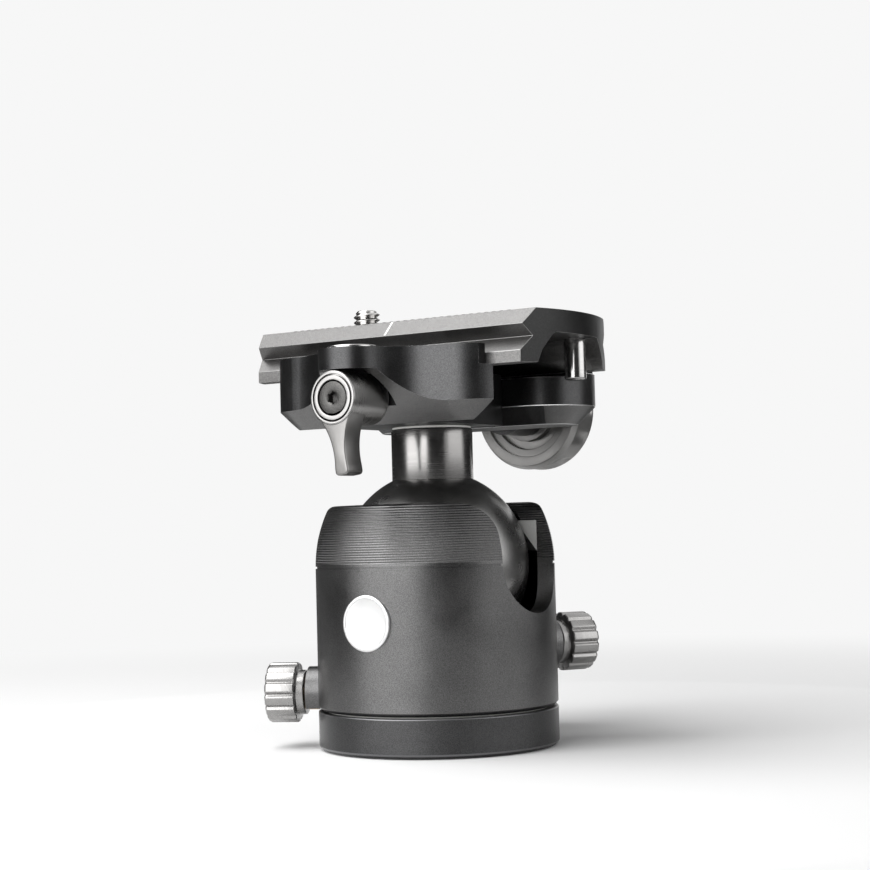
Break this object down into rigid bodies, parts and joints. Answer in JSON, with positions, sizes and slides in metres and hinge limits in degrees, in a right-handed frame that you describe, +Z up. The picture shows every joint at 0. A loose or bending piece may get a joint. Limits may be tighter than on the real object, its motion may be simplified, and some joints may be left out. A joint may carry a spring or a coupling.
{
  "type": "tripod ball head",
  "caption": "Tripod ball head: panning base, notched housing, ball with bright neck, and a panning quick-release clamp that grips a dovetail camera plate.",
  "frame": {"origin": "centre of the tripod face at the mouth of the tapped hole", "axes": "+Z up along the neck at rest, +X along the camera plate and towards the drop notch, pan lever on -Y, clamp knob on +Y"},
  "size_m": [0.0816, 0.0916, 0.1033],
  "materials": {
    "black_anodised": "bead-blasted, black anodised, satin",
    "plate_anodised": "bead-blasted, dark grey anodised, satin, with bright machined chamfers",
    "hard_anodised": "hard anodised, fine satin",
    "titan_anodised": "turned, titanium-grey anodised",
    "satin_steel": "fine turned satin",
    "steel": "turned, bright",
    "black_steel": "grey phosphated steel",
    "polished_metal": "polished",
    "brass": "turned",
    "white_polymer": "plain low-friction polymer",
    "grey_polymer": "moulded, matt",
    "black_rubber": "moulded, matt",
    "vial": "clear"
  },
  "bodies": {
    "base": {"base_disc": "black_anodised", "thread_insert": "steel", "base_screws": "black_steel", "pan_retainer": "steel", "pan_washer": "white_polymer"},
    "housing": {"housing": "black_anodised", "seat_ring": "grey_polymer", "badge_disc": "polished_metal", "cup_spring": "steel", "main_bushing": "brass", "drag_bushing": "brass", "pan_bushing": "brass"},
    "lower_cup": {"lower_cup": "grey_polymer"},
    "main_knob": {"main_knob": "black_anodised", "main_grip": "black_rubber", "main_cap": "titan_anodised", "main_shaft": "steel"},
    "main_plunger": {"main_plunger": "brass"},
    "drag_knob": {"drag_knob": "titan_anodised", "drag_shaft": "steel"},
    "drag_plunger": {"drag_plunger": "brass"},
    "pan_knob": {"pan_knob": "titan_anodised", "pan_shaft": "steel"},
    "pan_plunger": {"pan_plunger": "brass"},
    "ball": {"ball": "hard_anodised", "neck_stem": "satin_steel", "thrust_washer": "white_polymer", "stem_washer": "steel", "stem_bolt": "black_steel"},
    "clamp": {"clamp_body": "black_anodised", "level_bezel": "polished_metal", "level_vial": "vial", "screw_nut": "steel", "guide_pins": "steel", "jaw_springs": "steel", "lever_washer": "steel"},
    "pan_lever": {"pan_lever": "titan_anodised", "lever_bolt": "black_steel"},
    "pan_shoe": {"pan_shoe": "brass"},
    "far_jaw": {"far_jaw": "black_anodised", "thrust_sleeve": "black_anodised"},
    "clamp_knob": {"clamp_knob": "titan_anodised", "clamp_screw": "steel", "knob_cap": "black_anodised"},
    "camera_plate": {"camera_plate": "plate_anodised", "grip_pads": "black_rubber", "stop_pins": "polished_metal"},
    "screw_slider": {"screw_slider": "white_polymer"},
    "camera_screw": {"camera_screw": "polished_metal"},
    "d_ring": {"d_ring": "polished_metal"}
  },
  "joints": [
    {"name": "base_pan", "type": "hinge", "parent": "base", "child": "housing", "pos_m": [0, 0, 0.0092], "axis": [0, 0, 1], "continuous": true},
    {"name": "ball_tilt", "type": "hinge", "parent": "housing", "child": "ball", "pos_m": [0, 0, 0.042], "axis": [0, 1, 0], "range_deg": [-25, 90]},
    {"name": "main_lock", "type": "hinge", "parent": "housing", "child": "main_knob", "pos_m": [-0.01315, 0.02696, 0.025], "axis": [-0.4384, 0.8988, 0], "range_deg": [-180.1, 0]},
    {"name": "main_plunger_slide", "type": "slide", "parent": "housing", "child": "main_plunger", "axis": [0.4384, -0.8988, 0], "range_m": [0, 0.0005]},
    {"name": "cup_lift", "type": "slide", "parent": "housing", "child": "lower_cup", "axis": [0, 0, 1], "range_m": [0, 0.00026]},
    {"name": "drag_adjust", "type": "hinge", "parent": "housing", "child": "drag_knob", "pos_m": [0.015, 0.02598, 0.0224], "axis": [0.5, 0.866, 0], "range_deg": [-180.1, 0]},
    {"name": "drag_plunger_slide", "type": "slide", "parent": "housing", "child": "drag_plunger", "axis": [-0.5, -0.866, 0], "range_m": [0, 0.00025]},
    {"name": "pan_lock", "type": "hinge", "parent": "housing", "child": "pan_knob", "pos_m": [-0.02696, -0.01315, 0.0127], "axis": [-0.8988, -0.4384, 0], "range_deg": [-180.1, 0]},
    {"name": "pan_plunger_slide", "type": "slide", "parent": "housing", "child": "pan_plunger", "axis": [0.8988, 0.4384, 0], "range_m": [0, 0.00025]},
    {"name": "clamp_pan", "type": "hinge", "parent": "ball", "child": "clamp", "pos_m": [0, 0, 0.0742], "axis": [0, 0, 1], "continuous": true},
    {"name": "lever_turn", "type": "hinge", "parent": "clamp", "child": "pan_lever", "pos_m": [0, -0.0386, 0.0796], "axis": [0, 1, 0], "range_deg": [-80.1, 90.1]},
    {"name": "shoe_slide", "type": "slide", "parent": "clamp", "child": "pan_shoe", "axis": [0, 1, 0], "range_m": [-0.000222, 0.00025]},
    {"name": "clamp_knob_turn", "type": "hinge", "parent": "far_jaw", "child": "clamp_knob", "pos_m": [0, 0.043, 0.0798], "axis": [0, 1, 0], "range_deg": [0, 1350.5]},
    {"name": "jaw_slide", "type": "slide", "parent": "clamp", "child": "far_jaw", "axis": [0, 1, 0], "range_m": [0, 0.00375]},
    {"name": "plate_slide", "type": "slide", "parent": "clamp", "child": "camera_plate", "axis": [1, 0, 0], "range_m": [-0.0055, 0.0055]},
    {"name": "screw_slide", "type": "slide", "parent": "camera_plate", "child": "screw_slider", "axis": [1, 0, 0], "range_m": [0, 0.036]},
    {"name": "screw_turn", "type": "hinge", "parent": "screw_slider", "child": "camera_screw", "pos_m": [-0.018, 0, 0.095], "axis": [0, 0, 1], "continuous": true},
    {"name": "ring_fold", "type": "hinge", "parent": "camera_screw", "child": "d_ring", "pos_m": [-0.018, 0, 0.08935], "axis": [0, 1, 0], "range_deg": [0, 12]}
  ],
  "couplings": [
    {"joint": "main_lock", "follows": "main_plunger_slide", "rad_per_m": -6283.2},
    {"joint": "cup_lift", "follows": "main_plunger_slide", "ratio": 0.5},
    {"joint": "drag_adjust", "follows": "drag_plunger_slide", "rad_per_m": -12566},
    {"joint": "pan_lock", "follows": "pan_plunger_slide", "rad_per_m": -12566},
    {"joint": "lever_turn", "follows": "shoe_slide", "rad_per_m": 6283.2},
    {"joint": "clamp_knob_turn", "follows": "jaw_slide", "rad_per_m": 6283.2}
  ]
}
